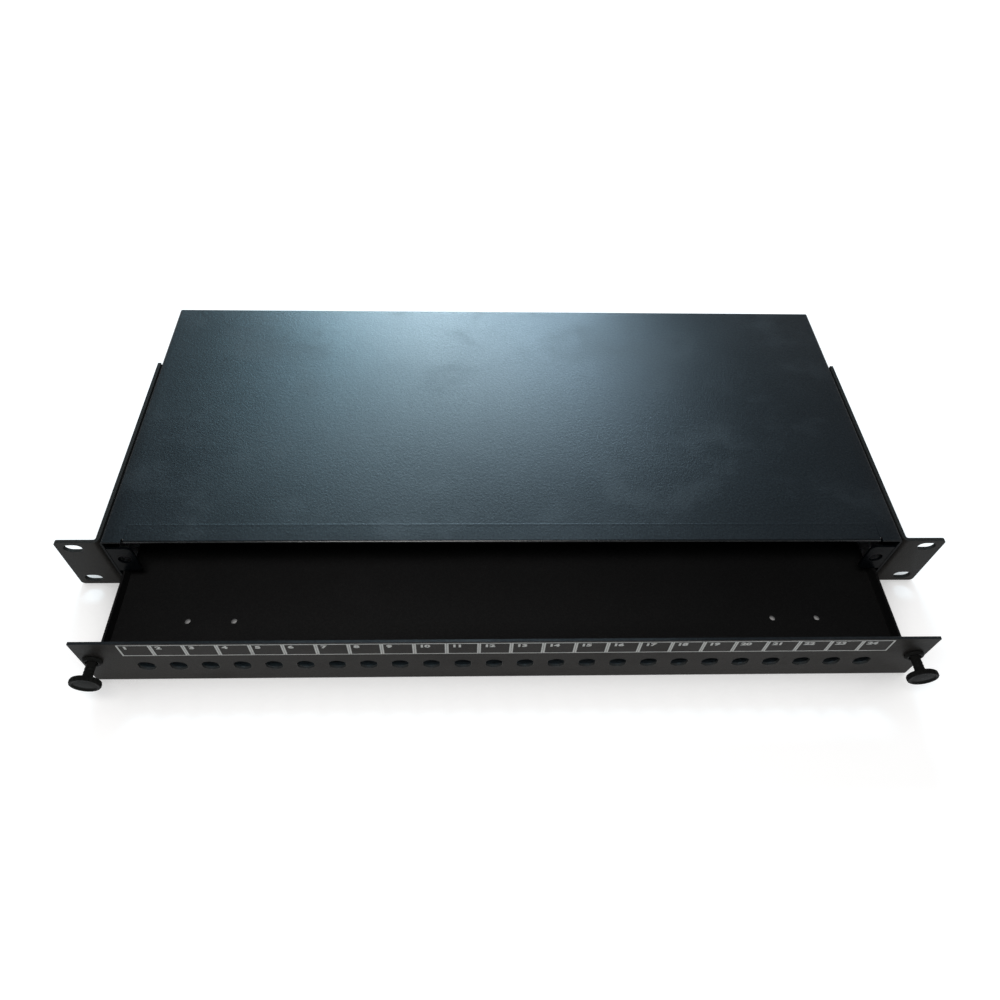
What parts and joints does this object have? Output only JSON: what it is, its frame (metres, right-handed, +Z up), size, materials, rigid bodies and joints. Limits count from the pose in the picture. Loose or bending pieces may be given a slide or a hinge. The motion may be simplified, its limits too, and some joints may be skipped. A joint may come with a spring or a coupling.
{
  "type": "fiber patch panel",
  "caption": "Sliding rack-mount fibre patch panel: flat casing with slotted ears and a drawer whose front plate holds a row of ports.",
  "frame": {"origin": "bottom centre of the whole object at rest, with the drawer 55 mm out and the latch pins pulled", "axes": "+X across the rack to the right, +Y to the rear, +Z up; the port plate faces -Y"},
  "size_m": [0.4826, 0.2556, 0.0436],
  "materials": {
    "case_coat": "black fine-textured powder coat, satin",
    "drawer_coat": "black powder coat, matt",
    "front_coat": "black powder coat, matt, with light grey printed port labels",
    "nylon": "black moulded nylon, glossy",
    "slip_strip": "white slippery plastic strip",
    "rubber": "black rubber",
    "spool_plastic": "black moulded plastic",
    "zinc": "zinc-plated steel",
    "black_screw": "blackened steel"
  },
  "bodies": {
    "case": {"case_shell": "case_coat", "base_pan": "case_coat", "rack_ear_left": "case_coat", "rack_ear_right": "case_coat", "ear_screw_left_1": "black_screw", "ear_screw_left_2": "black_screw", "ear_screw_left_3": "black_screw", "ear_screw_right_1": "black_screw", "ear_screw_right_2": "black_screw", "ear_screw_right_3": "black_screw", "base_rivet_left_1": "zinc", "base_rivet_left_2": "zinc", "base_rivet_left_3": "zinc", "base_rivet_right_1": "zinc", "base_rivet_right_2": "zinc", "base_rivet_right_3": "zinc", "drawer_guide_left": "zinc", "drawer_guide_right": "zinc", "glide_strip_left": "slip_strip", "glide_strip_right": "slip_strip", "cable_grommet_left": "rubber", "cable_grommet_right": "rubber"},
    "drawer": {"drawer_tray": "drawer_coat", "front_panel": "front_coat", "panel_stud_left": "zinc", "panel_stud_right": "zinc", "latch_grommet_left": "nylon", "latch_grommet_right": "nylon", "stop_angle_left": "zinc", "stop_angle_right": "zinc", "fibre_spool_left": "spool_plastic", "fibre_spool_right": "spool_plastic", "spool_screw_left": "zinc", "spool_screw_right": "zinc"},
    "latch_left": {"latch_plunger_left": "nylon"},
    "latch_right": {"latch_plunger_right": "nylon"}
  },
  "joints": [
    {"name": "drawer_slide", "type": "slide", "parent": "case", "child": "drawer", "axis": [0, -1, 0], "range_m": [-0.055, 0.06]},
    {"name": "latch_push_left", "type": "slide", "parent": "drawer", "child": "latch_left", "axis": [0, 1, 0], "range_m": [0, 0.0085]},
    {"name": "latch_push_right", "type": "slide", "parent": "drawer", "child": "latch_right", "axis": [0, 1, 0], "range_m": [0, 0.0085]}
  ]
}
